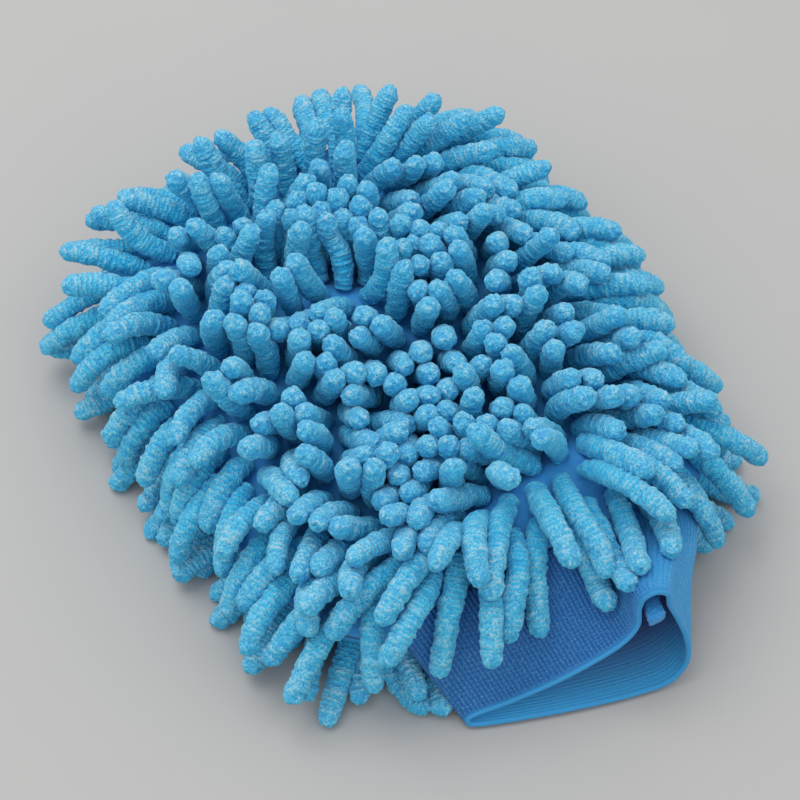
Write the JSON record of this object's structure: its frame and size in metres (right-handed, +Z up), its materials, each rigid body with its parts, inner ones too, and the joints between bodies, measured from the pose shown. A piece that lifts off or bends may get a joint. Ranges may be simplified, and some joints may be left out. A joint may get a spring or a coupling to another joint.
{
  "type": "wash mitt",
  "caption": "Car-wash mitt: a fabric hand pocket covered all over in thick chenille pile, with a ribbed elastic cuff at the wrist.",
  "frame": {"origin": "middle of the bounding box, on the surface the mitt lies on", "axes": "+Y from the cuff to the finger end, +X across the mitt towards the cuff's raised end, +Z up"},
  "size_m": [0.2016, 0.2575, 0.0654],
  "materials": {
    "chenille_noodle": "fluffy chenille pile",
    "base_fabric": "smooth knitted cloth",
    "elastic_webbing": "ribbed elastic webbing",
    "seam_allowance": "overlocked cut edges",
    "seam_thread": "spun thread"
  },
  "bodies": {
    "mitt": {"front_base_fabric": "base_fabric", "back_base_fabric": "base_fabric", "perimeter_seam": "seam_allowance", "elastic_cuff": "elastic_webbing", "cuff_end_allowance": "elastic_webbing", "cuff_end_stitching": "seam_thread", "cuff_attachment_seam": "seam_allowance", "front_noodle_row_01": "chenille_noodle", "front_noodle_row_02": "chenille_noodle", "front_noodle_row_03": "chenille_noodle", "front_noodle_row_04": "chenille_noodle", "front_noodle_row_05": "chenille_noodle", "front_noodle_row_06": "chenille_noodle", "front_noodle_row_07": "chenille_noodle", "front_noodle_row_08": "chenille_noodle", "front_noodle_row_09": "chenille_noodle", "front_noodle_row_10": "chenille_noodle", "front_noodle_row_11": "chenille_noodle", "front_noodle_row_12": "chenille_noodle", "front_noodle_row_13": "chenille_noodle", "front_noodle_row_14": "chenille_noodle", "front_noodle_row_15": "chenille_noodle", "front_noodle_row_16": "chenille_noodle", "front_noodle_row_17": "chenille_noodle", "front_noodle_row_18": "chenille_noodle", "front_noodle_row_19": "chenille_noodle", "front_noodle_row_20": "chenille_noodle", "front_noodle_row_21": "chenille_noodle", "back_noodle_row_01": "chenille_noodle", "back_noodle_row_02": "chenille_noodle", "back_noodle_row_03": "chenille_noodle", "back_noodle_row_04": "chenille_noodle", "back_noodle_row_05": "chenille_noodle", "back_noodle_row_06": "chenille_noodle", "back_noodle_row_07": "chenille_noodle", "back_noodle_row_08": "chenille_noodle", "back_noodle_row_09": "chenille_noodle", "back_noodle_row_10": "chenille_noodle", "back_noodle_row_11": "chenille_noodle", "back_noodle_row_12": "chenille_noodle", "back_noodle_row_13": "chenille_noodle", "back_noodle_row_14": "chenille_noodle", "back_noodle_row_15": "chenille_noodle", "back_noodle_row_16": "chenille_noodle", "back_noodle_row_17": "chenille_noodle", "back_noodle_row_18": "chenille_noodle", "back_noodle_row_19": "chenille_noodle", "back_noodle_row_20": "chenille_noodle", "back_noodle_row_21": "chenille_noodle"}
  },
  "joints": []
}
